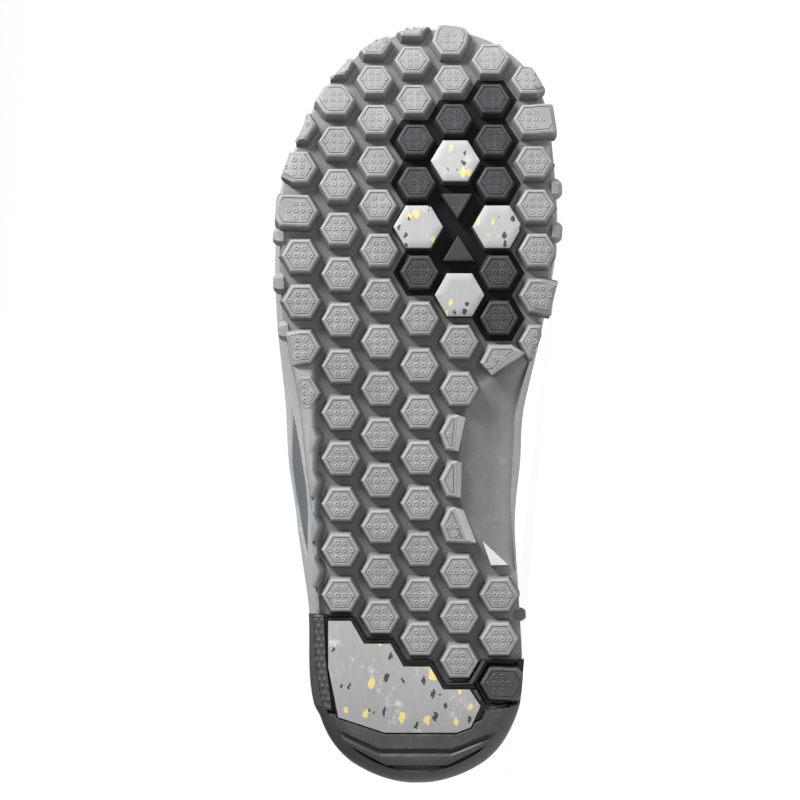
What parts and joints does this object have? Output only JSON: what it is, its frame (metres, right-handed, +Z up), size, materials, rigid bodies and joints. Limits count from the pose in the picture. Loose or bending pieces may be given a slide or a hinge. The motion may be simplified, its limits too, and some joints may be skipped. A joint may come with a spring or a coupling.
{
  "type": "winter boot",
  "caption": "Pull-on winter boot for the right foot, lying on its medial side, with hexagonal rubber lugs, dark ball and heel inlays and speckled grip pads.",
  "frame": {"origin": "on the floor, under the middle of the boot's box as it lies on its medial side", "axes": "+X towards the toe, +Y from the tread towards the collar, +Z up from the floor; the tread faces -Y"},
  "size_m": [0.3188, 0.2366, 0.1191],
  "materials": {
    "grey_rubber": "matte",
    "dark_rubber": "matte",
    "speckled_grip": "matte",
    "pale_midsole": "matte",
    "plain_badge": "satin",
    "shell_cloth": "matte",
    "overlay_rubber": "satin",
    "cuff_cloth": "matte",
    "footbed_felt": "matte"
  },
  "bodies": {
    "root": {"outsole": "grey_rubber", "forefoot_insert": "dark_rubber", "grip_pad_1": "speckled_grip", "grip_pad_2": "speckled_grip", "grip_pad_3": "speckled_grip", "grip_pad_4": "speckled_grip", "heel_piece": "dark_rubber", "heel_pad": "speckled_grip", "midsole": "pale_midsole", "side_badge": "plain_badge", "upper": "shell_cloth", "toe_cap": "overlay_rubber", "heel_counter": "overlay_rubber", "collar_cuff": "cuff_cloth", "insole": "footbed_felt"}
  },
  "joints": []
}
